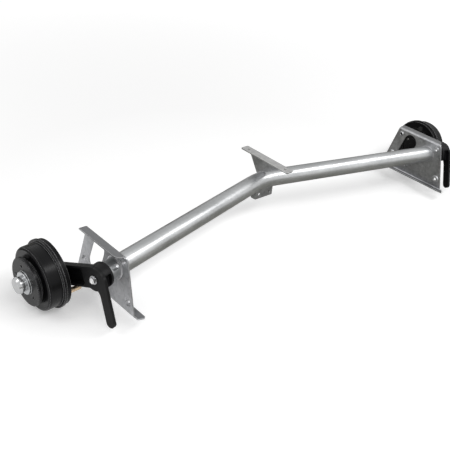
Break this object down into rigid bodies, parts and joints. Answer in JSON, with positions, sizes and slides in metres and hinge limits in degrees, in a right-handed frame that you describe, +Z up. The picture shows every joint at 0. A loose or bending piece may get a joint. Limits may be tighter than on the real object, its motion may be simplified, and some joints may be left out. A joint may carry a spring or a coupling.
{
  "type": "trailer axle",
  "caption": "Bent round tube axle with folded fixing plates, rubber-sprung trailing arms, drum brakes and bolt hubs.",
  "frame": {"origin": "middle between the two holes of the centre flange, on its top face", "axes": "+X along the axle towards its right end, +Y rearward (the arms trail that way), +Z up out of the centre flange"},
  "size_m": [2.247, 0.4593, 0.2713],
  "materials": {
    "galvanised_tube": "bright hot-dip zinc, satin",
    "galvanised_sheet": "zinc-coated sheet, satin grey",
    "black_casting": "black paint, satin",
    "black_drum": "black paint, semi-gloss, turned edges",
    "black_sheet": "black coat, satin",
    "bright_zinc": "bright zinc",
    "yellow_zinc": "yellow passivated zinc",
    "plain_steel": "plain oiled steel",
    "bearing_steel": "ground steel",
    "brake_shoe": "pressed steel with bonded lining",
    "rubber": "plain black rubber"
  },
  "bodies": {
    "axle": {"axle_tube": "galvanised_tube", "side_plate_left": "galvanised_sheet", "side_plate_right": "galvanised_sheet", "centre_flange": "galvanised_sheet", "centre_gusset": "galvanised_sheet", "cable_bracket": "galvanised_sheet", "rubber_cords_left": "rubber", "rubber_cords_right": "rubber"},
    "left_arm": {"swing_arm_left": "black_casting", "torsion_core_left": "plain_steel", "arm_bolt_left": "bright_zinc", "arm_washer_left": "bright_zinc", "stub_axle_left": "plain_steel", "hub_nut_left": "bright_zinc", "bearing_inner_left": "bearing_steel", "backplate_left": "black_sheet", "backplate_plugs_left": "rubber", "backplate_screws_left": "bright_zinc", "cable_gland_left": "yellow_zinc", "expander_bracket_left": "plain_steel", "expander_pin_left": "plain_steel", "adjuster_left": "plain_steel", "shoe_spring_left": "bearing_steel"},
    "left_hub": {"brake_drum_left": "black_drum", "bearing_outer_left": "bearing_steel", "bearing_balls_left": "bearing_steel", "bearing_circlip_left": "bearing_steel", "grease_cap_left": "bright_zinc"},
    "left_brake_lever": {"expander_lever_left": "plain_steel"},
    "left_upper_shoe": {"upper_shoe_left": "brake_shoe"},
    "left_lower_shoe": {"lower_shoe_left": "brake_shoe"},
    "right_arm": {"swing_arm_right": "black_casting", "torsion_core_right": "plain_steel", "arm_bolt_right": "bright_zinc", "arm_washer_right": "bright_zinc", "stub_axle_right": "plain_steel", "hub_nut_right": "bright_zinc", "bearing_inner_right": "bearing_steel", "backplate_right": "black_sheet", "backplate_plugs_right": "rubber", "backplate_screws_right": "bright_zinc", "cable_gland_right": "yellow_zinc", "expander_bracket_right": "plain_steel", "expander_pin_right": "plain_steel", "adjuster_right": "plain_steel", "shoe_spring_right": "bearing_steel"},
    "right_hub": {"brake_drum_right": "black_drum", "bearing_outer_right": "bearing_steel", "bearing_balls_right": "bearing_steel", "bearing_circlip_right": "bearing_steel", "grease_cap_right": "bright_zinc"},
    "right_brake_lever": {"expander_lever_right": "plain_steel"},
    "right_upper_shoe": {"upper_shoe_right": "brake_shoe"},
    "right_lower_shoe": {"lower_shoe_right": "brake_shoe"}
  },
  "joints": [
    {"name": "left_arm_swing", "type": "hinge", "parent": "axle", "child": "left_arm", "pos_m": [-0.85, -0.194, -0.095], "axis": [0.9719, 0.2355, 0], "range_deg": [-5, 38], "stiffness_Nm_per_rad": 2800, "deforming": ["rubber_cords_left"]},
    {"name": "left_hub_spin", "type": "hinge", "parent": "left_arm", "child": "left_hub", "pos_m": [-1.04993, -0.0395, -0.15455], "axis": [-0.9976, -0.0098, -0.0681], "continuous": true},
    {"name": "left_brake_pull", "type": "hinge", "parent": "left_arm", "child": "left_brake_lever", "pos_m": [-1.02785, -0.10506, -0.19696], "axis": [-0.0459, 0.8321, 0.5528], "range_deg": [0, 20], "stiffness_Nm_per_rad": 4, "deforming": ["shoe_spring_left"]},
    {"name": "left_upper_shoe_turn", "type": "hinge", "parent": "left_arm", "child": "left_upper_shoe", "pos_m": [-1.03612, 0.01532, -0.09301], "axis": [-0.9976, -0.0098, -0.0681], "range_deg": [0, 0.7]},
    {"name": "left_lower_shoe_turn", "type": "hinge", "parent": "left_arm", "child": "left_lower_shoe", "pos_m": [-1.03407, 0.0375, -0.12623], "axis": [0.9976, 0.0098, 0.0681], "range_deg": [0, 0.7]},
    {"name": "right_arm_swing", "type": "hinge", "parent": "axle", "child": "right_arm", "pos_m": [0.85, -0.194, -0.095], "axis": [0.9719, -0.2355, 0], "range_deg": [-5, 38], "stiffness_Nm_per_rad": 2800, "deforming": ["rubber_cords_right"]},
    {"name": "right_hub_spin", "type": "hinge", "parent": "right_arm", "child": "right_hub", "pos_m": [1.04993, -0.0395, -0.15455], "axis": [-0.9976, 0.0098, 0.0681], "continuous": true},
    {"name": "right_brake_pull", "type": "hinge", "parent": "right_arm", "child": "right_brake_lever", "pos_m": [1.02785, -0.10506, -0.19696], "axis": [-0.0459, -0.8321, -0.5528], "range_deg": [0, 20], "stiffness_Nm_per_rad": 4, "deforming": ["shoe_spring_right"]},
    {"name": "right_upper_shoe_turn", "type": "hinge", "parent": "right_arm", "child": "right_upper_shoe", "pos_m": [1.03612, 0.01532, -0.09301], "axis": [-0.9976, 0.0098, 0.0681], "range_deg": [0, 0.7]},
    {"name": "right_lower_shoe_turn", "type": "hinge", "parent": "right_arm", "child": "right_lower_shoe", "pos_m": [1.03407, 0.0375, -0.12623], "axis": [0.9976, -0.0098, -0.0681], "range_deg": [0, 0.7]}
  ],
  "couplings": [
    {"joint": "left_upper_shoe_turn", "follows": "left_brake_pull", "ratio": 0.035},
    {"joint": "left_lower_shoe_turn", "follows": "left_brake_pull", "ratio": 0.035},
    {"joint": "right_upper_shoe_turn", "follows": "right_brake_pull", "ratio": 0.035},
    {"joint": "right_lower_shoe_turn", "follows": "right_brake_pull", "ratio": 0.035}
  ]
}
